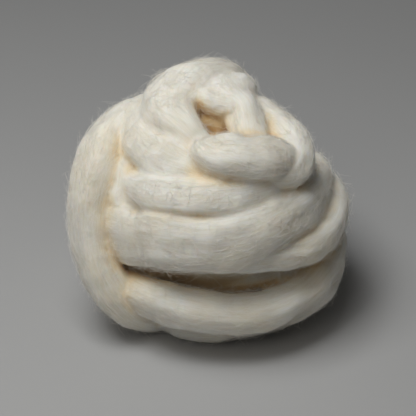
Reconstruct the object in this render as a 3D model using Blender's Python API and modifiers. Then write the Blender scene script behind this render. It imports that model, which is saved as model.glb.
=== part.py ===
"""A loosely wound ball of combed wool roving, resting on a small flat spot.

One thick, soft strand is wound round itself in turns. Each turn is a short table of stations along
the middle of the strand, and one solid, roving_ball, joins them all. Metres, +Z up, with the origin
on the resting surface under the middle of the ball. The ball's face looks forwards, along -Y, and
leans back.
"""

import math
from collections import namedtuple

import bmesh
import bpy
import numpy as np
from mathutils import Matrix, Vector

MM = 0.001
FACE_LEAN = math.radians(32)
MIDDLE_HEIGHT = 56 * MM
CORE_RADII = (54 * MM, 50 * MM, 51 * MM)
CORE_RINGS = 24

STATION_STEP = 4 * MM
STRAND_SIDES = 16
WELD = 0.0001 * MM
VOXEL = 1.7 * MM
SMOOTH_FACTOR = 0.5
SMOOTH_REPEATS = 2
SOLID_TRIANGLES = 7000
FLOOR_CUTTER_SIZE = 300 * MM

WOOL_COLOUR = (0.86, 0.83, 0.75, 1)
WOOL_ROUGHNESS = 0.9

# One station of a turn, in millimetres. across is to the right, up is along the leaning face and
# out is towards the viewer, all from the middle of the ball. width is the strand's size along the
# ball's skin and depth its size through it.
Station = namedtuple("Station", "across up out width depth")
Turn = namedtuple("Turn", "name closed stations")

TURNS = (
    Turn("left_turn", True, (
        Station(-31, 41, 3, 20, 18),
        Station(-41, 34.5, 12, 23, 21),
        Station(-47.5, 24, 20, 26, 25),
        Station(-51.5, 11, 25, 26, 26),
        Station(-54.8, -2, 24.5, 25, 22),
        Station(-55.3, -15, 23, 23, 20),
        Station(-54, -27, 21.5, 21, 19),
        Station(-50.5, -38.5, 17, 20, 19),
        Station(-43.5, -48.5, 11, 20, 18),
        Station(-35, -55, 3, 18, 16),
        Station(-20, -56, -6, 18, 16),
        Station(2, -48, -22, 22, 16),
        Station(24, -34, -40, 25, 17),
        Station(40, -12, -45, 26, 18),
        Station(39, 16, -42, 26, 18),
        Station(18, 38, -38, 25, 17),
        Station(-8, 46, -20, 22, 16),
    )),
    Turn("front_turn", True, (
        Station(-47, -8, 6, 20, 13),
        Station(-40, -12, 23.5, 27, 17),
        Station(-31.5, -15, 34.8, 31, 19),
        Station(-20.5, -18, 45, 32, 20),
        Station(-6, -19.8, 49.3, 30, 21),
        Station(9, -19.4, 50, 30, 21),
        Station(24, -14.2, 48, 28, 21),
        Station(37, -7.5, 40, 26.5, 20),
        Station(46.5, -1.5, 28, 24, 18),
        Station(52, 4, 12, 22, 17),
        Station(53, 9, -5, 20, 16),
        Station(49, 12, -22, 24, 17),
        Station(26, 9, -51, 28, 18),
        Station(-14, 4, -56, 29, 18),
        Station(-46, -2, -36, 26, 17),
        Station(-52, -4, -12, 20, 14),
    )),
    Turn("inner_turn", True, (
        Station(-37, 12, 18, 14, 12),
        Station(-34.5, 6.5, 30, 17, 13),
        Station(-29.5, 3.4, 41, 19, 16),
        Station(-19.5, 1.4, 49, 19, 18),
        Station(-6, 0.4, 54, 18.5, 18),
        Station(8, 0.6, 54, 17.5, 18),
        Station(22, 3.3, 49, 16, 17),
        Station(34, 7, 40, 15, 15),
        Station(43, 11, 25, 14, 14),
        Station(45, 15, 4, 16, 14),
        Station(38, 24, -28, 18, 14),
        Station(6, 32, -46, 20, 14),
        Station(-26, 32, -38, 20, 14),
        Station(-38, 27, -8, 16, 14),
    )),
    Turn("under_left", False, (
        Station(-24.7, 38, 11.4, 14, 12),
        Station(-35, 25.6, 23.5, 16, 13),
        Station(-38.8, 11.4, 30, 16, 13),
        Station(-40, -3.8, 31, 14, 12),
        Station(-36, -15, 28.5, 12, 10),
    )),
    Turn("tucked_fold", False, (
        Station(-34, 44, 2, 16, 13),
        Station(-34.3, 38, 16.5, 20, 15),
        Station(-32, 30.5, 27.6, 23, 15.5),
        Station(-26.5, 23.5, 37.6, 24, 16.5),
        Station(-18, 18, 45.2, 23, 15.5),
        Station(-9.5, 14.5, 49.2, 18, 14),
        Station(0, 10, 49, 12, 12),
    )),
    Turn("front_loop", False, (
        Station(8, 19, 22, 18, 18),
        Station(2, 18.5, 36, 20, 20),
        Station(0.5, 17.8, 49, 20.5, 21),
        Station(5.5, 18, 55.5, 21, 21),
        Station(12, 18.2, 57, 21.5, 21),
        Station(18, 17, 56, 21.5, 21),
        Station(23.5, 18, 54, 21.5, 20),
        Station(29, 18.4, 49.5, 20.5, 19),
        Station(34, 17, 42, 18, 16),
        Station(35, 17, 33, 15, 15),
        Station(30, 18, 22, 13, 13),
    )),
    Turn("curl", False, (
        Station(-12, 38, -24, 18, 15),
        Station(6, 47, -8, 18, 16),
        Station(20, 43, 10, 18, 16),
        Station(28, 38, 23, 18, 16),
        Station(35.5, 31, 32, 17, 16),
        Station(41, 23.5, 38, 15, 15),
        Station(41.8, 16, 42, 13, 14),
        Station(38.5, 11, 45.5, 13, 13),
        Station(31, 9.6, 48, 12, 12),
        Station(20, 10.2, 46, 10, 10),
    )),
    Turn("top_drop", False, (
        Station(-4, 16, -46, 20, 14),
        Station(0, 38, -42, 22, 16),
        Station(7, 51, -22, 22, 17),
        Station(10.5, 54, -4, 23, 18),
        Station(11, 51.5, 13.5, 25, 19),
        Station(10.5, 47, 25.5, 26, 19.5),
        Station(16.3, 40.5, 33, 17.5, 17),
        Station(18.6, 34, 36.5, 17, 16),
        Station(20, 28, 38, 17, 15),
        Station(25, 20, 34, 14, 12),
    )),
    Turn("top_hump", False, (
        Station(16, 32, -36, 20, 14),
        Station(15, 49, -22, 20, 16),
        Station(10, 56.5, -8, 22, 17),
        Station(2, 57.5, 5, 27, 20),
        Station(-8, 54.3, 15.5, 30, 21),
        Station(-14.3, 48.6, 24, 31, 22),
        Station(-17, 42, 31, 30, 21),
        Station(-16, 37, 36.5, 25, 20),
        Station(-11, 32, 41, 18, 18),
        Station(-5.5, 26.5, 43, 13, 14),
        Station(-1, 21, 40, 10, 10),
    )),
    Turn("right_under", False, (
        Station(30, 12, -44, 20, 14),
        Station(50, 10, -26, 18, 14),
        Station(59, 4.5, -7, 16, 15),
        Station(60.5, -4, 8, 16, 16),
        Station(58, -13, 19, 17, 16),
        Station(52, -19.5, 27.5, 17, 16),
        Station(42.5, -24, 35.5, 17, 16),
        Station(30, -26, 41.5, 16, 15),
        Station(16, -27, 44.5, 14, 13),
        Station(3, -26, 44.5, 10, 10),
        Station(-8, -24, 42, 6, 6),
    )),
    Turn("deep_turn", True, (
        Station(-44, -30, 6, 16, 14),
        Station(-28, -37, 9, 16, 14),
        Station(-10, -40, 11, 16, 14),
        Station(10, -40.5, 15, 16, 14),
        Station(30, -36, 16, 16, 14),
        Station(46, -29, 8, 16, 14),
        Station(52, -20, -8, 16, 14),
        Station(40, -20, -38, 20, 14),
        Station(6, -20, -50, 22, 14),
        Station(-30, -24, -40, 20, 14),
        Station(-50, -24, -14, 18, 14),
    )),
    Turn("lower_turn", True, (
        Station(-38, -44, 16, 17, 14),
        Station(-24, -49, 25.5, 21, 17),
        Station(-8, -52.5, 30, 18, 18),
        Station(7, -54.5, 30, 18, 18),
        Station(22, -54, 28.5, 18, 18),
        Station(34, -50.5, 25, 18, 17),
        Station(45, -45, 19, 19, 17),
        Station(53, -37, 12, 19, 17),
        Station(59, -27, 1, 18, 16),
        Station(59, -15, -16, 19, 15),
        Station(47, -5, -38, 24, 16),
        Station(20, -6, -55, 26, 18),
        Station(-10, -10, -57, 26, 18),
        Station(-37, -16, -45, 24, 17),
        Station(-53, -26, -18, 19, 14),
        Station(-48, -37, 4, 16, 13),
    )),
    Turn("bottom_turn", True, (
        Station(58, -22, -12, 19, 16),
        Station(57, -33, -3, 21, 18),
        Station(52, -43, 4, 23, 19),
        Station(41, -50, 10, 22, 19),
        Station(26, -56, 12, 20, 18),
        Station(8, -59.5, 11, 18, 17),
        Station(-8, -60, 8, 17, 16),
        Station(-22, -55, -2, 17, 15),
        Station(-36, -42, -18, 22, 16),
        Station(-49, -20, -32, 25, 17),
        Station(-50, 6, -34, 26, 17),
        Station(-32, 30, -42, 26, 17),
        Station(4, 34, -48, 26, 17),
        Station(36, 20, -42, 25, 17),
        Station(54, -2, -28, 21, 15),
    )),
    Turn("far_side", True, (
        Station(-52, 14, -12, 22, 16),
        Station(-38, 34, -26, 24, 17),
        Station(-10, 46, -36, 24, 17),
        Station(18, 43, -36, 23, 16),
        Station(36, 30, -28, 21, 14),
        Station(46, 16, -12, 18, 12),
        Station(48, 2, -2, 18, 12),
        Station(52, -18, -18, 22, 15),
        Station(34, -30, -40, 26, 17),
        Station(0, -36, -44, 26, 17),
        Station(-30, -32, -38, 25, 17),
        Station(-50, -14, -28, 24, 16),
    )),
    Turn("base_turn", True, (
        Station(30, -40, -25, 28, 14),
        Station(21, -29, -43, 28, 14),
        Station(0, -24, -50, 28, 14),
        Station(-21, -29, -43, 28, 14),
        Station(-30, -40, -25, 28, 14),
        Station(-21, -51, -7, 28, 14),
        Station(0, -56, 1, 28, 14),
        Station(21, -51, -7, 28, 14),
    )),
    Turn("hollow_edge", False, (
        Station(1.5, 56.5, 19, 10, 9),
        Station(-1.8, 51.2, 28.8, 11, 10),
        Station(-1.3, 46.8, 34, 11, 10),
        Station(4, 44.8, 36.5, 10, 9),
        Station(11, 42.5, 36.5, 8, 8),
    )),
    Turn("shoulder_turn", False, (
        Station(-6, 40, -34, 22, 15),
        Station(14, 43, -27, 23, 16),
        Station(30, 36, -18, 23, 16),
        Station(39, 26, -7, 20, 15),
        Station(44, 14, 4, 16, 12),
    )),
)


def clear_scene():
    for obj in list(bpy.data.objects):
        bpy.data.objects.remove(obj)


def new_collection(name):
    collection = bpy.data.collections.new(name)
    bpy.context.scene.collection.children.link(collection)
    return collection


def wool_material():
    material = bpy.data.materials.new("combed_wool")
    material.use_nodes = True
    shader = material.node_tree.nodes["Principled BSDF"]
    shader.inputs["Base Color"].default_value = WOOL_COLOUR
    shader.inputs["Roughness"].default_value = WOOL_ROUGHNESS
    shader.inputs["Metallic"].default_value = 0
    return material


def ball_to_world():
    """Turns across, up and out, in millimetres, to the part's own frame."""
    face_axes = Matrix((
        (1, 0, 0),
        (0, math.sin(FACE_LEAN), -math.cos(FACE_LEAN)),
        (0, math.cos(FACE_LEAN), math.sin(FACE_LEAN)),
    ))
    return Matrix.Translation((0, 0, MIDDLE_HEIGHT)) @ (face_axes * MM).to_4x4()


def catmull_rom(before, start, end, after, share):
    return 0.5 * (
        2 * start
        + (end - before) * share
        + (2 * before - 5 * start + 4 * end - after) * share**2
        + (3 * start - before - 3 * end + after) * share**3
    )


def smooth_stations(turn):
    """The turn's stations again, close together on a smooth line. A closed turn ends where it began."""
    rows = [np.array(station, float) for station in turn.stations]
    if turn.closed:
        rows = [rows[-1], *rows, rows[0], rows[1]]
    else:
        rows = [2 * rows[0] - rows[1], *rows, 2 * rows[-1] - rows[-2]]
    smooth = []
    for before, start, end, after in zip(rows, rows[1:], rows[2:], rows[3:]):
        span = np.linalg.norm(end[:3] - start[:3]) * MM
        steps = max(2, round(span / STATION_STEP))
        smooth += [catmull_rom(before, start, end, after, step / steps) for step in range(steps)]
    return smooth + [rows[-2]]


def section_frames(stations):
    """A matrix for each station: X across the strand's width, Y through its depth, Z along it."""
    to_world = ball_to_world()
    points = [to_world @ Vector(station[:3]) for station in stations]
    frames = []
    depth_way = Vector((0, 0, 0))
    for index, (point, station) in enumerate(zip(points, stations)):
        ahead = points[min(index + 1, len(points) - 1)]
        behind = points[max(index - 1, 0)]
        along = (ahead - behind).normalized()
        outward = (point - to_world.translation).normalized() + depth_way
        depth_way = (outward - outward.dot(along) * along).normalized()
        turned = Matrix((depth_way.cross(along), depth_way, along)).transposed().to_4x4()
        half_size = Matrix.Diagonal((station[3] * MM / 2, station[4] * MM / 2, 1, 1))
        frames.append(Matrix.Translation(point) @ turned @ half_size)
    return frames


def add_strand(bm, turn):
    """Wraps a grid round the turn's sections and welds its seams. An open turn is capped inside the ball."""
    frames = section_frames(smooth_stations(turn))
    grid = bmesh.ops.create_grid(bm, x_segments=STRAND_SIDES, y_segments=len(frames) - 1, size=1)
    for index, vert in enumerate(grid["verts"]):
        ring, side = divmod(index, STRAND_SIDES + 1)
        angle = 2 * math.pi * side / STRAND_SIDES
        vert.co = frames[ring] @ Vector((math.cos(angle), math.sin(angle), 0))
    if turn.closed:
        for first, last in zip(grid["verts"], grid["verts"][-STRAND_SIDES - 1:]):
            last.co = first.co
    bmesh.ops.remove_doubles(bm, verts=grid["verts"], dist=WELD)
    bmesh.ops.holes_fill(bm, edges=[edge for edge in bm.edges if edge.is_boundary], sides=0)


def add_core(bm):
    """The buried middle of the ball, where the hidden turns lie."""
    place = Matrix.Translation((0, 0, MIDDLE_HEIGHT)) @ Matrix.Diagonal((*CORE_RADII, 1))
    bmesh.ops.create_uvsphere(bm, u_segments=2 * CORE_RINGS, v_segments=CORE_RINGS, radius=1, matrix=place)


def apply_modifiers(obj):
    graph = bpy.context.evaluated_depsgraph_get()
    mesh = bpy.data.meshes.new_from_object(obj.evaluated_get(graph))
    obj.modifiers.clear()
    obj.data = mesh


def keep_outer_skin(obj):
    """Deletes the small sealed hollows that are left between the turns and the core."""
    bm = bmesh.new()
    bm.from_mesh(obj.data)
    waiting = set(bm.verts)
    skins = []
    while waiting:
        skin = {waiting.pop()}
        edge_of_skin = set(skin)
        while edge_of_skin:
            reached = {edge.other_vert(vert) for vert in edge_of_skin for edge in vert.link_edges}
            edge_of_skin = reached - skin
            skin |= edge_of_skin
        waiting -= skin
        skins.append(skin)
    outer = max(skins, key=len)
    bmesh.ops.delete(bm, geom=[vert for vert in bm.verts if vert not in outer], context="VERTS")
    bm.to_mesh(obj.data)
    bm.free()


def add_floor_cutter(collection):
    """A block under the resting surface, which cuts the ball's flat spot."""
    bpy.ops.mesh.primitive_cube_add(size=FLOOR_CUTTER_SIZE, location=(0, 0, -FLOOR_CUTTER_SIZE / 2))
    cutter = bpy.context.object
    cutter.name = "floor_cutter"
    cutter.hide_render = True
    cutter.display_type = "WIRE"
    for owner in list(cutter.users_collection):
        owner.objects.unlink(cutter)
    collection.objects.link(cutter)
    return cutter


def make_ball(collection, cutter, material):
    bm = bmesh.new()
    for turn in TURNS:
        add_strand(bm, turn)
    add_core(bm)
    bmesh.ops.recalc_face_normals(bm, faces=bm.faces)
    mesh = bpy.data.meshes.new("roving_ball")
    bm.to_mesh(mesh)
    bm.free()
    ball = bpy.data.objects.new("roving_ball", mesh)
    collection.objects.link(ball)

    remesh = ball.modifiers.new("join_turns", "REMESH")
    remesh.mode = "VOXEL"
    remesh.voxel_size = VOXEL
    smooth = ball.modifiers.new("soften", "SMOOTH")
    smooth.factor = SMOOTH_FACTOR
    smooth.iterations = SMOOTH_REPEATS
    apply_modifiers(ball)
    keep_outer_skin(ball)

    thin = ball.modifiers.new("fewer_faces", "DECIMATE")
    thin.ratio = SOLID_TRIANGLES / sum(len(face.vertices) - 2 for face in ball.data.polygons)
    thin.use_collapse_triangulate = True
    flat_spot = ball.modifiers.new("flat_spot", "BOOLEAN")
    flat_spot.operation = "DIFFERENCE"
    flat_spot.object = cutter
    ball.data.materials.append(material)
    ball.data.shade_smooth()
    return ball


def main():
    clear_scene()
    parts = new_collection("wool_roving")
    cutters = new_collection("cutters")
    make_ball(parts, add_floor_cutter(cutters), wool_material())


main()
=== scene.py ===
"""The looks of a loosely wound ball of undyed combed wool roving.

The turns of the strand are soft lofts that are grown together into one skin. The skin is drawn into
bundles of fibres that run along each turn, and loose fibres lie on it and stand off it. The turns
follow nearly the same stations as the solid ball that they replace, and one short turn more is the
floor of the small hollow in its face.
"""

import math
from collections import namedtuple

import bmesh
import bpy
import numpy as np
from mathutils import Matrix, Vector
from mathutils.bvhtree import BVHTree


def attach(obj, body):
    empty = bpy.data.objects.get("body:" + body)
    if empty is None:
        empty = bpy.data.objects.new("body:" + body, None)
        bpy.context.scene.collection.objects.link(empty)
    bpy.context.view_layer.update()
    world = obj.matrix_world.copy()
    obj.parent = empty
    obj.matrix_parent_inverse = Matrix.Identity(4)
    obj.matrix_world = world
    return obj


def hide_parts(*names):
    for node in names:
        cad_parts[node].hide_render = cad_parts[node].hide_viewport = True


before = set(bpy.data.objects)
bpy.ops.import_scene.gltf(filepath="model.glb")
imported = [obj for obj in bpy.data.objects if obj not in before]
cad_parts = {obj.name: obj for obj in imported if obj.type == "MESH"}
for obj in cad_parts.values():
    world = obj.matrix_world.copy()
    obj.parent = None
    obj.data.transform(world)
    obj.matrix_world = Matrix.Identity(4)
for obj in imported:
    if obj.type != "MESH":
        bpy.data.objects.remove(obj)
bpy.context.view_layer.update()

MM = 0.001
CAD_NODE = "roving_ball"
BODY = "root"

# The ball's face leans back by FACE_LEAN, and its middle is this high over its flat spot.
FACE_LEAN = math.radians(32)
MIDDLE_HEIGHT = 56 * MM
MIDDLE = np.array((0, 0, MIDDLE_HEIGHT))
FACE_AXES = np.array((
    (1, 0, 0),
    (0, math.sin(FACE_LEAN), math.cos(FACE_LEAN)),
    (0, -math.cos(FACE_LEAN), math.sin(FACE_LEAN)),
))
CORE_PLACE = (0, -3 * MM, -4 * MM)
CORE_RADII = np.array((53, 46, 49)) * MM
CORE_RINGS = 48

SEED = 11
SWELL_SEED = SEED + 99
BUNDLE_SEED = SEED + 100
FIBRE_SEED = SEED + 1000
TINY = 1e-12

Station = namedtuple("Station", "across up out width depth")
Turn = namedtuple("Turn", "name closed stations")
Skin = namedtuple("Skin", "points outward angle way")
# Where each point of the joined skin lies: the turn it belongs to and its ring and column on it.
Places = namedtuple("Places", "turn ring column")
# A ripple's count of waves, the fewest and most that fit round a turn, and the most along it.
Ripple = namedtuple("Ripple", "waves around along")

# How finely a turn's skin is divided, and how the turns' skins grow together into one.
SKIN_SIDES = 64
SKIN_STEP = 3 * MM
WELD = 0.0001 * MM
JOIN_VOXEL = 1.19 * MM
SOFTEN_FACTOR = 0.5
SOFTEN_REPEATS = 3
FLOOR_CLEARANCE = 0.2 * MM

# The form of a turn: its lumps as a share of its girth, and the fullness of its section, where 1
# is an ellipse and less is fuller.
LUMPS = Ripple(14, (1, 4), 5)
LUMP_SHARE = 0.021
SECTION_POWER = 0.84

# The relief of the joined skin: a slow swell, bundles of fibres, furrows between them and fine
# fibres. A furrow lies where the bundles' height is within FURROW_WIDTH of nothing, and
# FURROW_MEAN keeps the skin's level where it was.
SWELL_WAVES = 24
SWELL_HEIGHT = 0.32 * MM
SWELL_SIZES = (11 * MM, 24 * MM)
BUNDLES = Ripple(36, (3, 10), 7)
BUNDLE_DEPTH = 0.12 * MM
FURROW_DEPTH = 0.05 * MM
FURROW_WIDTH = 0.3
FURROW_MEAN = 0.25
FINE_FIBRES = Ripple(50, (9, 24), 12)
FINE_DEPTH = 0.02 * MM

# How a point finds how deeply it lies in creases, which sets where shade is painted: it looks LOOKS ways,
# up to LOOK_SPREAD aside from straight out, as far as LOOK_REACH. Each point's finding then moves towards
# its neighbours'.
LOOKS = 20
LOOK_REACH = 15 * MM
LOOK_SPREAD = 0.98
LOOK_SOFTENING = 3
START_GAP = 0.1 * MM

# Keeps each turn's streaks from matching the next turn's.
GRAIN_SHIFT = 0.37

# Fibres: how many, how long, how thick and how far they stand off the skin, in millimetres. curl is
# how far they wave, in millimetres, and drift how far they turn away from the strand, in radians.
FibreKind = namedtuple("FibreKind", "name count points shortest longest radius stand_off curl drift")
FIBRE_KINDS = (
    FibreKind("lying_fibres", 4400, 8, 10, 30, 0.042, 0.4, 0.5, 0.35),
    FibreKind("fuzz_near", 9300, 4, 2, 5, 0.038, 0.4, 0.4, 1.2),
    FibreKind("fuzz_middle", 9300, 4, 2.5, 6, 0.04, 0.9, 0.5, 1.2),
    FibreKind("fuzz_far", 7500, 4, 3, 8, 0.042, 1.5, 0.7, 1.2),
    FibreKind("flyaway_fibres", 2000, 6, 4, 10, 0.038, 1.9, 1.0, 1.1),
)
# A fibre that stands off by no more than this lies down again at its far end.
LYING_STAND_OFF = 0.5
LOWEST_FIBRE = 2 * MM
ROOT_LIFT = 0.03 * MM
# The most that one fibre stands off, as a share of its kind's stand_off, and the powers of the rise.
MOST_LIFT = 2.6
LYING_RISE = 0.6
STANDING_RISE = (1.0, 2.2)
# A fibre's bend to one side, its waves from end to end, and the least share of its kind's curl.
SWERVE = 0.3
WAVES_ALONG = (0.6, 2.4)
LEAST_CURL = 0.2
# Thickness as a share of the kind's radius, the share left at the ends, and how blunt they are.
THICKNESSES = (0.7, 1.3)
END_THICKNESS = 0.35
BLUNT_END = 0.08
# The spacing of the straight fibres that are bent into place, in fibre radii.
TEMPLATE_GAP = 3
BAKE_MAP = "OFBake"
CELL_MARGIN = 0.1

# Colours are linear.
CREAM_LIGHT = (0.91, 0.90, 0.848)
CREAM_SHADE = (0.87, 0.85, 0.78)
PATCH_TINT = (1, 0.965, 0.9)
UNTINTED = (1, 1, 1)
STRAND_TINTS = ((0.36, (0.92, 0.90, 0.855)), (0.6, UNTINTED))
# Painted shade: the wool is darkened and made warmer in creases and hollows, by how shut in each point is.
# It stands in for shade and for the warmer light bounced between turns.
PAINTED_CREASE_SHADE = (
    (0.05, UNTINTED),
    (0.2, (1.0, 0.90, 0.74)),
    (0.38, (0.86, 0.66, 0.42)),
    (0.65, (0.74, 0.56, 0.36)),
)
FIBRE_SHADE = (0.88, 0.83, 0.73)
FIBRE_LIGHT = (0.99, 0.98, 0.95)
FLOOR_SHADE = (0.40, 0.40, 0.40)
FLOOR_LIGHT = (0.44, 0.44, 0.44)

SKIN_SUBSURFACE = 0.6
SUBSURFACE_RADIUS = (1.0, 0.82, 0.6)
SUBSURFACE_SCALE = 7 * MM
# Streaks for each metre round the strand and along it, and the noise's detail.
BROAD_STREAKS = (420, 14, 4)
FINE_STREAKS = (1900, 110, 5)
PATCH_SCALE = 34
BUMP_STRENGTH = 0.6
BUMP_DISTANCE = 0.25 * MM

FLOOR_SIZE = 4
CAMERA_LENS = 150
CAMERA_DISTANCE = 0.85
VIEW_DROP = 4.6 * MM
ROOM_LIGHT = 0.05
# Name, place, width and height, watts and colour.
SOFT_LIGHTS = (
    ("top_softbox", (-0.2, -0.15, 0.77), (0.4, 0.4), 4.1, (0.995, 1, 0.99)),
    ("front_fill", (-0.35, -0.8, 0.9), (0.6, 0.6), 1.6, (1, 0.965, 0.91)),
)

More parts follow.
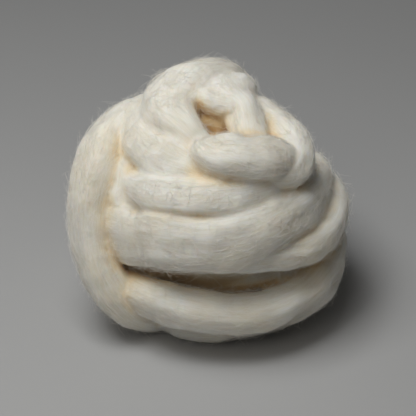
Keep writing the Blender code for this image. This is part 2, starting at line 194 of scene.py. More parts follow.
# One station of a turn, in millimetres. across is to the right, up is along the leaning face and
# out is towards the viewer, all from the middle of the ball. width is the strand's size along the
# ball's skin and depth its size through it.
TURNS = (
    Turn("left_turn", True, (
        Station(-31, 41, 3, 20, 18),
        Station(-41, 34.5, 12, 23, 21),
        Station(-47.5, 24, 20, 26, 25),
        Station(-51.5, 11, 25, 26, 26),
        Station(-54.8, -2, 24.5, 25, 22),
        Station(-55.3, -15, 23, 23, 20),
        Station(-53.6, -27, 22.5, 21, 19),
        Station(-49.5, -38, 20, 20.5, 19),
        Station(-43, -48, 15.5, 21, 19),
        Station(-34.5, -55, 7, 19, 17),
        Station(-20, -56, -6, 18, 16),
        Station(2, -48, -22, 22, 16),
        Station(24, -34, -40, 25, 17),
        Station(40, -12, -45, 26, 18),
        Station(39, 16, -42, 26, 18),
        Station(18, 38, -38, 25, 17),
        Station(-8, 46, -20, 22, 16),
    )),
    Turn("front_turn", True, (
        Station(-48, -12, 6, 20, 13),
        Station(-41.5, -14.5, 24.5, 31, 18),
        Station(-34, -16, 33.2, 33, 19),
        Station(-27.5, -17.4, 37.6, 31, 18.5),
        Station(-20.5, -18, 45, 32, 20),
        Station(-6, -19.8, 49.3, 30, 21),
        Station(9, -19.4, 50, 30, 21),
        Station(24, -14.2, 48, 28, 21),
        Station(37, -7.5, 40, 26.5, 20),
        Station(46.5, -1.5, 28, 24, 18),
        Station(52, 4, 12, 22, 17),
        Station(53, 9, -5, 20, 16),
        Station(49, 12, -22, 24, 17),
        Station(26, 9, -51, 28, 18),
        Station(-14, 4, -56, 29, 18),
        Station(-46, -2, -36, 26, 17),
        Station(-52, -4, -12, 20, 14),
    )),
    Turn("inner_turn", True, (
        Station(-37, 12, 18, 14, 12),
        Station(-34.5, 6.5, 30, 17, 13),
        Station(-29.5, 3.4, 41, 19, 16),
        Station(-19.5, 1.4, 49, 19, 18),
        Station(-6, 0.4, 54, 18.5, 18),
        Station(8, 0.6, 54, 17.5, 18),
        Station(22, 3.3, 49, 16, 17),
        Station(34, 7, 40, 15, 15),
        Station(43, 11, 25, 14, 14),
        Station(45, 15, 4, 16, 14),
        Station(38, 24, -28, 18, 14),
        Station(6, 32, -46, 20, 14),
        Station(-26, 32, -38, 20, 14),
        Station(-38, 27, -8, 16, 14),
    )),
    Turn("under_left", False, (
        Station(-24.7, 38, 11.4, 14, 12),
        Station(-35, 25.6, 23.5, 16, 13),
        Station(-38.8, 11.4, 30, 16, 13),
        Station(-40, -3.8, 31, 14, 12),
        Station(-36, -15, 28.5, 12, 10),
    )),
    Turn("tucked_fold", False, (
        Station(-34, 44, 2, 16, 13),
        Station(-34.3, 38, 16.5, 20, 15),
        Station(-32, 30.5, 27.6, 23, 15.5),
        Station(-26.5, 23.5, 37.6, 24, 16.5),
        Station(-18, 18, 45.2, 23, 15.5),
        Station(-9.5, 14.5, 49.2, 18, 14),
        Station(0, 10, 49, 12, 12),
    )),
    Turn("front_loop", False, (
        Station(8, 19, 22, 18, 18),
        Station(2, 18.5, 36, 20, 20),
        Station(0.5, 17.8, 49, 20.5, 21),
        Station(5.5, 18, 55.5, 21, 21),
        Station(12, 18.2, 57, 21.5, 21),
        Station(18, 17, 56, 21.5, 21),
        Station(23.5, 18, 54, 21.5, 20),
        Station(29, 18.4, 49.5, 20.5, 19),
        Station(34, 17, 42, 18, 16),
        Station(35, 17, 33, 15, 15),
        Station(30, 18, 22, 13, 13),
    )),
    Turn("curl", False, (
        Station(-12, 38, -24, 18, 15),
        Station(6, 47, -8, 18, 16),
        Station(20, 43, 10, 18, 16),
        Station(28, 38, 23, 18, 16),
        Station(35.5, 31, 32, 17, 16),
        Station(41, 23.5, 38, 15, 15),
        Station(41.8, 16, 42, 13, 14),
        Station(38.5, 11, 45.5, 13, 13),
        Station(31, 9.6, 48, 12, 12),
        Station(20, 10.2, 46, 10, 10),
    )),
    Turn("top_drop", False, (
        Station(-4, 16, -46, 20, 14),
        Station(0, 38, -42, 22, 16),
        Station(7, 51, -22, 22, 17),
        Station(10.5, 54, -4, 23, 18),
        Station(11, 51.5, 13.5, 25, 19),
        Station(10.5, 47, 25.5, 26, 19.5),
        Station(16.3, 40.5, 33, 17.5, 17),
        Station(18.6, 34, 36.5, 17, 16),
        Station(20, 28, 38, 17, 15),
        Station(25, 20, 34, 14, 12),
    )),
    Turn("top_hump", False, (
        Station(16, 32, -36, 20, 14),
        Station(15, 49, -22, 20, 16),
        Station(10, 56.5, -8, 22, 17),
        Station(2, 57.5, 5, 27, 20),
        Station(-8, 54.3, 15.5, 30, 21),
        Station(-14.3, 48.6, 24, 31, 22),
        Station(-17, 42, 31, 30, 21),
        Station(-16, 37, 36.5, 25, 20),
        Station(-11, 32, 41, 18, 18),
        Station(-5.5, 26.5, 43, 13, 14),
        Station(-1, 21, 40, 10, 10),
    )),
    Turn("right_under", False, (
        Station(30, 12, -44, 20, 14),
        Station(50, 10, -26, 18, 14),
        Station(59, 4.5, -7, 16, 15),
        Station(60.5, -4, 8, 16, 16),
        Station(58, -13, 19, 17, 16),
        Station(52, -19.5, 27.5, 17, 16),
        Station(42.5, -24, 35.5, 17, 16),
        Station(30, -26, 41.5, 16, 15),
        Station(16, -27, 44.5, 14, 13),
        Station(3, -26, 44.5, 10, 10),
        Station(-8, -24, 42, 6, 6),
    )),
    Turn("deep_turn", True, (
        Station(-44, -30, 6, 16, 14),
        Station(-28, -37, 9, 16, 14),
        Station(-10, -40, 11, 16, 14),
        Station(10, -40.5, 15, 16, 14),
        Station(30, -36, 16, 16, 14),
        Station(46, -29, 8, 16, 14),
        Station(52, -20, -8, 16, 14),
        Station(40, -20, -38, 20, 14),
        Station(6, -20, -50, 22, 14),
        Station(-30, -24, -40, 20, 14),
        Station(-50, -24, -14, 18, 14),
    )),
    Turn("lower_turn", True, (
        Station(-39, -42, 14, 17, 14),
        Station(-24.5, -48.5, 25, 21, 17),
        Station(-8, -52.5, 30, 18, 18),
        Station(7, -54.5, 30, 18, 18),
        Station(22, -54, 28.5, 18, 18),
        Station(34, -50.5, 25, 18, 17),
        Station(45, -45, 19, 19, 17),
        Station(53, -37, 12, 19, 17),
        Station(59, -27, 1, 18, 16),
        Station(59, -15, -16, 19, 15),
        Station(47, -5, -38, 24, 16),
        Station(20, -6, -55, 26, 18),
        Station(-10, -10, -57, 26, 18),
        Station(-37, -16, -45, 24, 17),
        Station(-53, -26, -18, 19, 14),
        Station(-48, -37, 4, 16, 13),
    )),
    Turn("bottom_turn", True, (
        Station(58, -22, -12, 19, 16),
        Station(57, -33, -3, 21, 18),
        Station(52, -43, 4, 23, 19),
        Station(41, -50, 10, 22, 19),
        Station(26, -56, 12, 20, 18),
        Station(8, -59.5, 11, 18, 17),
        Station(-8, -60, 8, 17, 16),
        Station(-22, -55, -2, 17, 15),
        Station(-36, -42, -18, 22, 16),
        Station(-49, -20, -32, 25, 17),
        Station(-50, 6, -34, 26, 17),
        Station(-32, 30, -42, 26, 17),
        Station(4, 34, -48, 26, 17),
        Station(36, 20, -42, 25, 17),
        Station(54, -2, -28, 21, 15),
    )),
    Turn("far_side", True, (
        Station(-52, 14, -12, 22, 16),
        Station(-38, 34, -26, 24, 17),
        Station(-10, 46, -36, 24, 17),
        Station(18, 43, -36, 23, 16),
        Station(36, 30, -28, 21, 14),
        Station(46, 16, -12, 18, 12),
        Station(48, 2, -2, 18, 12),
        Station(52, -18, -18, 22, 15),
        Station(34, -30, -40, 26, 17),
        Station(0, -36, -44, 26, 17),
        Station(-30, -32, -38, 25, 17),
        Station(-50, -14, -28, 24, 16),
    )),
    Turn("base_turn", True, (
        Station(30, -40, -25, 28, 14),
        Station(21, -29, -43, 28, 14),
        Station(0, -24, -50, 28, 14),
        Station(-21, -29, -43, 28, 14),
        Station(-30, -40, -25, 28, 14),
        Station(-21, -51, -7, 28, 14),
        Station(0, -56, 1, 28, 14),
        Station(21, -51, -7, 28, 14),
    )),
    Turn("hollow_edge", False, (
        Station(8, 54.5, 17, 12, 10),
        Station(3.6, 50.8, 27, 12.5, 10),
        Station(-0.3, 46.8, 33, 13.5, 10.5),
        Station(4.6, 44.7, 35.3, 12, 10),
        Station(11.5, 42.7, 35.7, 10, 9),
    )),
    Turn("shoulder_turn", False, (
        Station(-6, 40, -34, 22, 15),
        Station(14, 43, -27, 23, 16),
        Station(30, 36, -18, 23, 16),
        Station(39, 26, -7, 20, 15),
        Station(44, 14, 4, 16, 12),
    )),
    Turn("hollow_floor", False, (
        Station(-13, 34, 16, 14, 10),
        Station(-4, 37, 24.5, 15, 11),
        Station(4, 37.5, 26, 15, 11),
        Station(13, 35, 23, 14, 10),
    )),
)


def catmull_rom(rows, closed):
    """Points of a smooth curve through the rows, about SKIN_STEP apart along its first three columns."""
    if closed:
        rows = np.vstack((rows[-1], rows, rows[:2]))
    else:
        rows = np.vstack((2 * rows[0] - rows[1], rows, 2 * rows[-1] - rows[-2]))
    points = []
    for before, start, end, after in zip(rows, rows[1:], rows[2:], rows[3:]):
        count = max(2, round(np.linalg.norm(end[:3] - start[:3]) / SKIN_STEP))
        t = (np.arange(count) / count)[:, None]
        points.append(0.5 * (
            2 * start
            + (end - before) * t
            + (2 * before - 5 * start + 4 * end - after) * t**2
            + (3 * start - before - 3 * end + after) * t**3
        ))
    return np.vstack((*points, rows[-2]))


def unit(vectors):
    return vectors / np.maximum(np.linalg.norm(vectors, axis=-1, keepdims=True), TINY)


def turn_sections(turn):
    """The turn's middle line with, at each ring, its width way, its depth way and its half sizes."""
    rows = catmull_rom(np.array(turn.stations, dtype=float) * MM, turn.closed)
    middles = MIDDLE + rows[:, :3] @ FACE_AXES
    if turn.closed:
        padded = np.vstack((middles[-2], middles, middles[1]))
        along = unit(padded[2:] - padded[:-2])
    else:
        along = unit(np.gradient(middles, axis=0))
    depth_ways = []
    depth_way = np.zeros(3)
    for middle, forwards in zip(middles, along):
        outward = unit(middle - MIDDLE) + depth_way
        depth_way = unit(outward - outward.dot(forwards) * forwards)
        depth_ways.append(depth_way)
    depth_ways = np.array(depth_ways)
    width_ways = np.cross(depth_ways, along)
    return middles, width_ways, depth_ways, rows[:, 3:] / 2


def rippled(rng, ripple, angle, turn_angle):
    """A smooth random field on a turn's skin, which joins up all the way round. It is about 1 high."""
    field = np.zeros(np.broadcast(angle, turn_angle).shape)
    fewest, most = ripple.around
    for _ in range(ripple.waves):
        turns_around = rng.integers(fewest, most + 1)
        turns_along = rng.integers(-ripple.along, ripple.along + 1)
        start = rng.uniform(0, 2 * math.pi)
        field += rng.normal() * np.cos(turns_around * angle + turns_along * turn_angle + start)
    return field / math.sqrt(ripple.waves / 2)


def turn_skin(turn, rng):
    """The turn's skin as an array of rings, each with its seam on the side that faces the ball's middle.

    Returns the points, the outward ways, and each point's angle round the turn and way along it.
    """
    middles, width_ways, depth_ways, half_sizes = turn_sections(turn)
    angle = np.linspace(-math.pi / 2, 1.5 * math.pi, SKIN_SIDES + 1)[None, :]
    steps = np.linalg.norm(np.diff(middles, axis=0), axis=1)
    way = np.concatenate(((0,), np.cumsum(steps)))[:, None]
    turn_angle = 2 * math.pi * way / way[-1]
    cos, sin = np.cos(angle)[..., None], np.sin(angle)[..., None]
    half_width, half_depth = half_sizes[:, :1, None], half_sizes[:, 1:, None]
    width_ways, depth_ways = width_ways[:, None], depth_ways[:, None]
    outward = unit(cos / half_width * width_ways + sin / half_depth * depth_ways)
    height = LUMP_SHARE * turn_girth(turn) * MM * rippled(rng, LUMPS, angle, turn_angle)
    full_cos = np.sign(cos) * np.abs(cos) ** SECTION_POWER
    full_sin = np.sign(sin) * np.abs(sin) ** SECTION_POWER
    points = middles[:, None] + half_width * full_cos * width_ways + half_depth * full_sin * depth_ways
    points = points + height[..., None] * outward
    points[..., 2] = np.maximum(points[..., 2], FLOOR_CLEARANCE)
    return Skin(points, outward, angle + 0 * way, way + 0 * angle)


def turn_girth(turn):
    """How thick the turn is on average, in millimetres."""
    return float(np.mean([(station.width + station.depth) / 2 for station in turn.stations]))


def add_closed_skin(bm, skin):
    """Wraps a flat grid onto a turn's rings, welds its seams and caps its ends."""
    rings, columns = skin.points.shape[:2]
    grid = bmesh.ops.create_grid(bm, x_segments=columns - 1, y_segments=rings - 1, size=1)
    for vert, point in zip(grid["verts"], skin.points.reshape(-1, 3).tolist()):
        vert.co = point
    bmesh.ops.remove_doubles(bm, verts=grid["verts"], dist=WELD)
    bmesh.ops.holes_fill(bm, edges=[edge for edge in bm.edges if edge.is_boundary], sides=0)


def add_core(bm):
    """The middle of the ball, which shows only between turns."""
    across, up, out = (Vector(way) for way in FACE_AXES)
    turned = Matrix((across, up, out)).transposed().to_4x4()
    place = Matrix.Translation(face_point(*CORE_PLACE)) @ turned @ Matrix.Diagonal((*CORE_RADII, 1))
    bmesh.ops.create_uvsphere(bm, u_segments=2 * CORE_RINGS, v_segments=CORE_RINGS, radius=1, matrix=place)


def evaluated_mesh(obj):
    return bpy.data.meshes.new_from_object(obj.evaluated_get(bpy.context.evaluated_depsgraph_get()))


def keep_outer_skin(mesh):
    """Deletes the small sealed hollows that are left between the turns."""
    bm = bmesh.new()
    bm.from_mesh(mesh)
    waiting = set(bm.verts)
    skins = []
    while waiting:
        skin = {waiting.pop()}
        edge_of_skin = set(skin)
        while edge_of_skin:
            reached = {edge.other_vert(vert) for vert in edge_of_skin for edge in vert.link_edges}
            edge_of_skin = reached - skin
            skin |= edge_of_skin
        waiting -= skin
        skins.append(skin)
    outer = max(skins, key=len)
    bmesh.ops.delete(bm, geom=[vert for vert in bm.verts if vert not in outer], context="VERTS")
    bm.to_mesh(mesh)
    bm.free()


def joined_mesh(skins):
    """All the turns grown together into one soft skin, with rounded creases between them."""
    bm = bmesh.new()
    for skin in skins:
        add_closed_skin(bm, skin)
    add_core(bm)
    bmesh.ops.recalc_face_normals(bm, faces=bm.faces)
    mesh = bpy.data.meshes.new("turns")
    bm.to_mesh(mesh)
    bm.free()
    turns = bpy.data.objects.new("turns", mesh)
    bpy.context.scene.collection.objects.link(turns)
    join = turns.modifiers.new("join", "REMESH")
    join.mode = "VOXEL"
    join.voxel_size = JOIN_VOXEL
    soften = turns.modifiers.new("soften", "SMOOTH")
    soften.factor = SOFTEN_FACTOR
    soften.iterations = SOFTEN_REPEATS
    joined = evaluated_mesh(turns)
    bpy.data.objects.remove(turns)
    keep_outer_skin(joined)
    return joined


def mesh_array(items, name, width, kind=float):
    values = np.empty(len(items) * width, dtype=kind)
    items.foreach_get(name, values)
    return values.reshape(-1, width)


def find_places(points, skins):
    """For each point the turn whose skin is nearest, and the ring and column there."""
    corners = []
    owners = []
    quads = []
    for own, skin in enumerate(skins):
        rings, columns = skin.points.shape[:2]
        corner = np.arange(rings * columns).reshape(rings, columns) + len(corners)
        sides = (corner[:-1, :-1], corner[:-1, 1:], corner[1:, 1:], corner[1:, :-1])
        quads += np.stack(sides, axis=-1).reshape(-1, 4).tolist()
        corners += skin.points.reshape(-1, 3).tolist()
        ring, column = np.indices((rings - 1, columns - 1)).reshape(2, -1)
        owners.append(np.stack((np.full(ring.size, own), ring, column), axis=1))
    tree = BVHTree.FromPolygons(corners, quads)
    found = [tree.find_nearest(point)[2] for point in points.tolist()]
    owner = np.concatenate(owners)[found]
    quad = np.array(corners)[np.array(quads)[found]]
    share = []
    for neighbour in (3, 1):
        edge = quad[:, neighbour] - quad[:, 0]
        ratio = ((points - quad[:, 0]) * edge).sum(axis=1) / np.maximum((edge * edge).sum(axis=1), TINY)
        share.append(ratio.clip(0, 1))
    return Places(owner[:, 0], owner[:, 1] + share[0], owner[:, 2] + share[1])


def swell(rng, points):
    """A gentle unevenness of the whole ball: waves that run every way. It is about 1 high."""
    field = np.zeros(len(points))
    for _ in range(SWELL_WAVES):
        way = unit(rng.normal(size=3))
        size = rng.uniform(*SWELL_SIZES)
        field += np.cos(2 * math.pi * (points @ way) / size + rng.uniform(0, 2 * math.pi))
    return field / math.sqrt(SWELL_WAVES / 2)


def shut_in(mesh, points, normals):
    """How much of what each point faces is other wool close by: 0 in the open, 1 deep in creases. It masks
    the shade painted there.
    """
    tree = BVHTree.FromPolygons(points.tolist(), [tuple(face.vertices) for face in mesh.polygons])
    directions = unit(np.random.default_rng(SEED).normal(size=(LOOKS, 3)))
    starts = (points + START_GAP * normals).tolist()
    shut = np.zeros(len(points))
    for direction in directions:
        ways = unit(normals + LOOK_SPREAD * direction).tolist()
        hits = [tree.ray_cast(start, way, LOOK_REACH)[3] for start, way in zip(starts, ways)]
        shut += [0 if hit is None else 1 - hit / LOOK_REACH for hit in hits]
    return shut / LOOKS


def smoothed(values, edges, repeats):
    """The values after each has moved halfway to its neighbours' average, again and again."""
    first, second = edges.T
    size = len(values)
    count = np.bincount(edges.ravel(), minlength=size)
    for _ in range(repeats):
        total = np.bincount(first, values[second], size) + np.bincount(second, values[first], size)
        values = 0.5 * values + 0.5 * total / count
    return values


def set_attribute(mesh, name, values):
    """Keeps one number, or one vector, at each vertex for the material to read."""
    kind, key = ("FLOAT_VECTOR", "vector") if values.ndim == 2 else ("FLOAT", "value")
    layer = mesh.attributes.new(name, kind, "POINT")
    layer.data.foreach_set(key, values.astype(np.float32).reshape(-1))


def bundle_height(rng, angle, turn_angle):
    """The relief of the fibres along a turn, in metres."""
    bundles = rippled(rng, BUNDLES, angle, turn_angle)
    fine = rippled(rng, FINE_FIBRES, angle, turn_angle)
    furrows = np.exp(-(bundles / FURROW_WIDTH) ** 2) - FURROW_MEAN
    return BUNDLE_DEPTH * bundles - FURROW_DEPTH * furrows + FINE_DEPTH * fine


def add_skin(skins, material):
    """The ball's skin, drawn into bundles along each turn. Returns where each of its points lies."""
    mesh = joined_mesh(skins)
    points = mesh_array(mesh.vertices, "co", 3)
    normals = mesh_array(mesh.vertices, "normal", 3)
    edges = mesh_array(mesh.edges, "vertices", 2, int)
    places = find_places(points, skins)
    # The mask of the shade painted into creases, softened a little.
    crease_shade = smoothed(shut_in(mesh, points, normals), edges, LOOK_SOFTENING)

    grain = np.zeros_like(points)
    fourth = np.zeros(len(points))
    height = SWELL_HEIGHT * swell(np.random.default_rng(SWELL_SEED), points)
    for own, (turn, skin) in enumerate(zip(TURNS, skins)):
        mine = places.turn == own
        angle = 2 * math.pi * places.column[mine] / SKIN_SIDES
        length = skin.way[-1, 0]
        turn_angle = 2 * math.pi * places.ring[mine] / (len(skin.points) - 1)
        half_girth = 0.5 * turn_girth(turn) * MM
        if turn.closed:
            radius = length / (2 * math.pi)
            lengthwise, fourth[mine] = radius * np.cos(turn_angle), radius * np.sin(turn_angle)
        else:
            lengthwise = length * turn_angle / (2 * math.pi)
        lengthwise = lengthwise + GRAIN_SHIFT * own
        grain[mine] = np.stack((half_girth * np.cos(angle), half_girth * np.sin(angle), lengthwise), axis=1)
        height[mine] += bundle_height(np.random.default_rng(BUNDLE_SEED + own), angle, turn_angle)
    shaped = points + height[:, None] * normals
    shaped[:, 2] = np.maximum(shaped[:, 2], FLOOR_CLEARANCE)
    mesh.vertices.foreach_set("co", shaped.reshape(-1))
    mesh.update()
    set_attribute(mesh, "grain", grain)
    set_attribute(mesh, "grain_fourth", fourth)
    set_attribute(mesh, "crease_shade", crease_shade)
    mesh.name = "wool_skin"
    add_piece("wool_skin", mesh, material)
    return shaped, places


def add_piece(name, mesh, material):
    piece = bpy.data.objects.new(name, mesh)
    bpy.context.scene.collection.objects.link(piece)
    mesh.materials.append(material)
    mesh.shade_smooth()
    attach(piece, BODY)
    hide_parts(CAD_NODE)


def on_skin(values, ring, column):
    """Values between the points of a skin, at fractional ring and column numbers."""
    rings, columns = values.shape[:2]
    ring = np.clip(ring, 0, rings - 1.001)
    column = np.clip(column, 0, columns - 1.001)
    low_ring, low_column = ring.astype(int), column.astype(int)
    r, c = (ring - low_ring)[..., None], (column - low_column)[..., None]
    near = values[low_ring, low_column] * (1 - c) + values[low_ring, low_column + 1] * c
    far = values[low_ring + 1, low_column] * (1 - c) + values[low_ring + 1, low_column + 1] * c
    return near * (1 - r) + far * r


def fibre_roots(rng, points, places, count):
    """Points of the joined skin, taken at random, where fibres start."""
    free = np.flatnonzero(points[:, 2] > LOWEST_FIBRE)
    chosen = rng.choice(free, count, replace=False)
    return Places(*(values[chosen] for values in places))


def fibre_paths(rng, kind, skins, roots):
    """The points of every fibre of one kind: each follows its turn's skin and stands off it."""
    t = np.linspace(0, 1, kind.points)
    paths = []
    for own, skin in enumerate(skins):
        mine = roots.turn == own
        count = mine.sum()
        rings, columns = skin.points.shape[:2]
        length = rng.uniform(kind.shortest, kind.longest, (count, 1)) * MM
        heading = rng.normal(0, kind.drift, (count, 1))
        backwards = rng.choice((-1, 1), (count, 1))
        ring_step = skin.way.max() / (rings - 1)
        column_step = math.pi * turn_girth(TURNS[own]) * MM / (columns - 1)
        ring = roots.ring[mine, None] + backwards * length * np.cos(heading) * t / ring_step
        sideways_way = length * np.sin(heading) * (t + rng.normal(0, SWERVE, (count, 1)) * t**2)
        column = roots.column[mine, None] + sideways_way / column_step
        if kind.stand_off > LYING_STAND_OFF:
            rise = t ** rng.uniform(*STANDING_RISE, (count, 1))
        else:
            rise = np.sin(math.pi * t) ** LYING_RISE
        stand_off = kind.stand_off * MM * rng.exponential(1, (count, 1)).clip(0, MOST_LIFT)
        lift = ROOT_LIFT + stand_off * rise
        outward = on_skin(skin.outward, ring, column)
        path = on_skin(skin.points, ring, column) + lift[..., None] * outward
        sideways = unit(np.cross(outward[:, 0], path[:, -1] - path[:, 0]))[:, None]
        for way in (sideways, outward):
            waves = rng.uniform(*WAVES_ALONG, (count, 1))
            start = rng.uniform(0, 2 * math.pi, (count, 1))
            bend = np.sin(2 * math.pi * waves * t + start) - np.sin(start)
            curl = kind.curl * MM * rng.uniform(LEAST_CURL, 1, (count, 1))
            path = path + (curl * bend * t)[..., None] * way
        paths.append(path)
    return np.concatenate(paths)


def fibre_template(name, points, count):
    """One straight three-sided fibre, closed at both ends, repeated by an Array.

    Returns the row of fibres, and the points of one.
    """
    bm = bmesh.new()
    bmesh.ops.create_cone(bm, cap_ends=True, segments=3, radius1=1, radius2=1, depth=points - 1)
    lengthwise = [edge for edge in bm.edges if abs(edge.verts[0].co.z - edge.verts[1].co.z) > 0.5]
    bmesh.ops.subdivide_edges(bm, edges=lengthwise, cuts=points - 2, use_grid_fill=True)
    bmesh.ops.translate(bm, verts=bm.verts, vec=(0, 0, (points - 1) / 2))
    mesh = bpy.data.meshes.new(name)
    bm.to_mesh(mesh)
    bm.free()
    template = bpy.data.objects.new(name, mesh)
    bpy.context.scene.collection.objects.link(template)
    row = template.modifiers.new("row", "ARRAY")
    row.count = count
    row.use_relative_offset = False
    row.use_constant_offset = True
    row.constant_offset_displace = (TEMPLATE_GAP, 0, 0)
    bpy.context.view_layer.update()
    joined = evaluated_mesh(template)
    bpy.data.objects.remove(template)
    return joined, mesh_array(mesh.vertices, "co", 3)


def add_fibres(rng, kind, paths, material):
    """Bends one copy of the straight fibre along every path, thinner towards its ends."""
    count = len(paths)
    mesh, one = fibre_template(kind.name, kind.points, count)
    mesh.name = kind.name
    ring = np.rint(one[:, 2]).astype(int)
    along = unit(np.gradient(paths, axis=1))
    side = unit(np.cross(along, rng.normal(size=(count, 1, 3))))
    other_side = np.cross(along, side)
    share = ring / (kind.points - 1)
    roundness = np.sqrt(np.sin(math.pi * np.clip(share, BLUNT_END, 1 - BLUNT_END)))
    taper = END_THICKNESS + (1 - END_THICKNESS) * roundness
    radius = kind.radius * MM * rng.uniform(*THICKNESSES, (count, 1)) * taper
    section = one[:, :1] * side[:, ring] + one[:, 1:2] * other_side[:, ring]
    placed = paths[:, ring] + radius[..., None] * section
    placed[..., 2] = np.maximum(placed[..., 2], FLOOR_CLEARANCE)
    mesh.vertices.foreach_set("co", placed.reshape(-1))
    mesh.update()
    set_attribute(mesh, "tint", np.repeat(rng.uniform(0, 1, count), len(one)))
    add_fibre_map(mesh, one, count, kind.points)
    add_piece(kind.name, mesh, material)


def add_fibre_map(mesh, one, count, points):
    """A UV map in which every fibre has its own small cell."""
    cells = math.ceil(math.sqrt(count))
    cell = np.stack(np.divmod(np.arange(count), cells), axis=1)[:, None]
    angle = np.arctan2(one[:, 1], one[:, 0])
    place = np.stack((0.5 + 0.4 * np.cos(angle + 0.35), one[:, 2] / (points - 1)), axis=1)
    spots = ((cell + CELL_MARGIN + (1 - 2 * CELL_MARGIN) * place) / cells).reshape(-1, 2)
    corners = np.empty(len(mesh.loops), dtype=int)
    mesh.loops.foreach_get("vertex_index", corners)
    layer = mesh.uv_layers.new(name=BAKE_MAP)
    layer.data.foreach_set("uv", spots[corners].reshape(-1))


def add_node(material, kind, **settings):
    node = material.node_tree.nodes.new(kind)
    for name, value in settings.items():
        setattr(node, name, value)
    return node


def link(material, source, output, target, socket):
    material.node_tree.links.new(source.outputs[output], target.inputs[socket])


def wool_shader(material):
    """The settings that skin and loose fibres share."""
    shader = material.node_tree.nodes["Principled BSDF"]
    shader.inputs["Roughness"].default_value = 0.9
    shader.inputs["Specular IOR Level"].default_value = 0.25
    shader.inputs["Sheen Weight"].default_value = 0.3
    shader.inputs["Sheen Roughness"].default_value = 0.45
    shader.inputs["Sheen Tint"].default_value = (1, 0.98, 0.93, 1)
    return shader


def streaks(material, around, along, detail):
    """Noise drawn out along the fibres, in the grain that the skin carries."""
    grain = add_node(material, "ShaderNodeAttribute", attribute_name="grain")
    stretch = add_node(material, "ShaderNodeVectorMath", operation="MULTIPLY")
    stretch.inputs[1].default_value = (around, around, along)
    fourth = add_node(material, "ShaderNodeAttribute", attribute_name="grain_fourth")
    fourth_scale = add_node(material, "ShaderNodeMath", operation="MULTIPLY")
    fourth_scale.inputs[1].default_value = along
    noise = add_node(material, "ShaderNodeTexNoise", noise_dimensions="4D")
    noise.inputs["Scale"].default_value = 1
    noise.inputs["Detail"].default_value = detail
    noise.inputs["Roughness"].default_value = 0.6
    noise.inputs["Distortion"].default_value = 0.9
    link(material, grain, "Vector", stretch, 0)
    link(material, stretch, "Vector", noise, "Vector")
    link(material, fourth, "Fac", fourth_scale, 0)
    link(material, fourth_scale, "Value", noise, "W")
    return noise


def colour_ramp(material, source, output, stops):
    ramp = add_node(material, "ShaderNodeValToRGB")
    ends = ramp.color_ramp.elements
    for index, (place, colour) in enumerate(stops):
        stop = ends[index] if index < len(ends) else ends.new(place)
        stop.position = place
        stop.color = (*colour, 1)
    link(material, source, output, ramp, "Fac")
    return ramp


def multiply(material, first, output, ramp):
    """One colour multiplied by the colour of a ramp."""
    mix = add_node(material, "ShaderNodeMix", data_type="RGBA", blend_type="MULTIPLY")
    mix.inputs[0].default_value = 1
    link(material, first, output, mix, 6)
    link(material, ramp, "Color", mix, 7)
    return mix


def skin_material():
    """Combed wool: pale streaks along the fibres, faint patches of warmer cream, and painted shade that
    darkens the creases and makes them warmer.
    """
    material = bpy.data.materials.new("wool_skin")
    material.use_nodes = True
    shader = wool_shader(material)
    shader.inputs["Subsurface Weight"].default_value = SKIN_SUBSURFACE
    shader.inputs["Subsurface Radius"].default_value = SUBSURFACE_RADIUS
    shader.inputs["Subsurface Scale"].default_value = SUBSURFACE_SCALE

    broad = streaks(material, *BROAD_STREAKS)
    pale = colour_ramp(material, broad, "Fac", ((0.35, CREAM_SHADE), (0.65, CREAM_LIGHT)))
    place = add_node(material, "ShaderNodeTexCoord")
    patches = add_node(material, "ShaderNodeTexNoise")
    patches.inputs["Scale"].default_value = PATCH_SCALE
    patches.inputs["Detail"].default_value = 2
    link(material, place, "Object", patches, "Vector")
    warmth = colour_ramp(material, patches, "Fac", ((0.42, UNTINTED), (0.68, PATCH_TINT)))
    full = multiply(material, pale, "Color", warmth)

    # Painted shade: the creases and hollows are darkened and made warmer by the mask of how shut in they
    # are.
    crease_shade = add_node(material, "ShaderNodeAttribute", attribute_name="crease_shade")
    painted_shade = colour_ramp(material, crease_shade, "Fac", PAINTED_CREASE_SHADE)
    with_painted_shade = multiply(material, full, 2, painted_shade)
    fine = streaks(material, *FINE_STREAKS)
    strands = colour_ramp(material, fine, "Fac", STRAND_TINTS)
    base = multiply(material, with_painted_shade, 2, strands)
    link(material, base, 2, shader, "Base Color")

    bump = add_node(material, "ShaderNodeBump")
    bump.inputs["Strength"].default_value = BUMP_STRENGTH
    bump.inputs["Distance"].default_value = BUMP_DISTANCE
    link(material, fine, "Fac", bump, "Height")
    link(material, bump, "Normal", shader, "Normal")
    return material


def fibre_material():
    """Loose fibres: the same wool, each a little lighter or warmer than the next."""
    material = bpy.data.materials.new("wool_fibre")
    material.use_nodes = True
    shader = wool_shader(material)
    tint = add_node(material, "ShaderNodeAttribute", attribute_name="tint")
    pale = colour_ramp(material, tint, "Fac", ((0, FIBRE_SHADE), (1, FIBRE_LIGHT)))
    link(material, pale, "Color", shader, "Base Color")
    return material


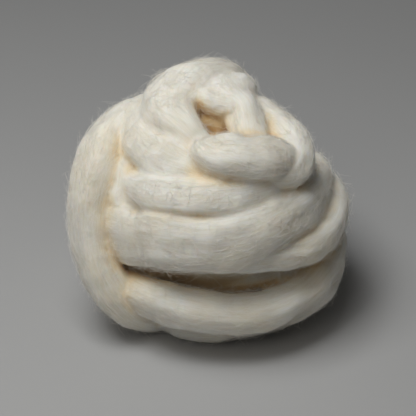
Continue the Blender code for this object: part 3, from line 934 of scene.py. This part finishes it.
def add_floor():
    """A plain pale floor."""
    bm = bmesh.new()
    bmesh.ops.create_grid(bm, x_segments=1, y_segments=1, size=FLOOR_SIZE / 2)
    mesh = bpy.data.meshes.new("floor")
    bm.to_mesh(mesh)
    bm.free()
    floor = bpy.data.objects.new("floor", mesh)
    bpy.context.scene.collection.objects.link(floor)
    material = bpy.data.materials.new("floor_paint")
    material.use_nodes = True
    shader = material.node_tree.nodes["Principled BSDF"]
    shader.inputs["Roughness"].default_value = 0.8
    noise = add_node(material, "ShaderNodeTexNoise")
    noise.inputs["Scale"].default_value = 6
    shades = colour_ramp(material, noise, "Fac", ((0.3, FLOOR_SHADE), (0.7, FLOOR_LIGHT)))
    link(material, shades, "Color", shader, "Base Color")
    mesh.materials.append(material)


def face_point(across, up, out):
    """A place in the ball's face frame as a world vector."""
    return Vector(MIDDLE + np.array((across, up, out)) @ FACE_AXES)


def aim(obj, target):
    obj.rotation_euler = (target - obj.location).to_track_quat("-Z", "Y").to_euler()


def add_soft_light(name, place, size, power, colour):
    data = bpy.data.lights.new(name, "AREA")
    data.shape = "RECTANGLE"
    data.size, data.size_y = size
    data.energy = power
    data.color = colour
    lamp = bpy.data.objects.new(name, data)
    bpy.context.scene.collection.objects.link(lamp)
    lamp.location = place
    aim(lamp, Vector(MIDDLE))


def add_lights():
    for light in SOFT_LIGHTS:
        add_soft_light(*light)
    world = bpy.data.worlds.new("studio")
    world.use_nodes = True
    background = world.node_tree.nodes["Background"]
    background.inputs["Color"].default_value = (1, 1, 1, 1)
    background.inputs["Strength"].default_value = ROOM_LIGHT
    bpy.context.scene.world = world
    bpy.context.scene.view_settings.view_transform = "Standard"


def add_camera():
    """Looks down at the ball's leaning face, a little below its middle."""
    data = bpy.data.cameras.new("camera")
    data.lens = CAMERA_LENS
    camera = bpy.data.objects.new("camera", data)
    bpy.context.scene.collection.objects.link(camera)
    target = face_point(0, -VIEW_DROP, 0)
    camera.location = target + Vector(FACE_AXES[2]) * CAMERA_DISTANCE
    aim(camera, target)
    bpy.context.scene.camera = camera


def main():
    skins = [turn_skin(turn, np.random.default_rng(SEED + index)) for index, turn in enumerate(TURNS)]
    points, places = add_skin(skins, skin_material())
    fibre_finish = fibre_material()
    for index, kind in enumerate(FIBRE_KINDS):
        rng = np.random.default_rng(FIBRE_SEED + index)
        paths = fibre_paths(rng, kind, skins, fibre_roots(rng, points, places, kind.count))
        add_fibres(rng, kind, paths, fibre_finish)
    add_floor()
    add_lights()
    add_camera()


main()
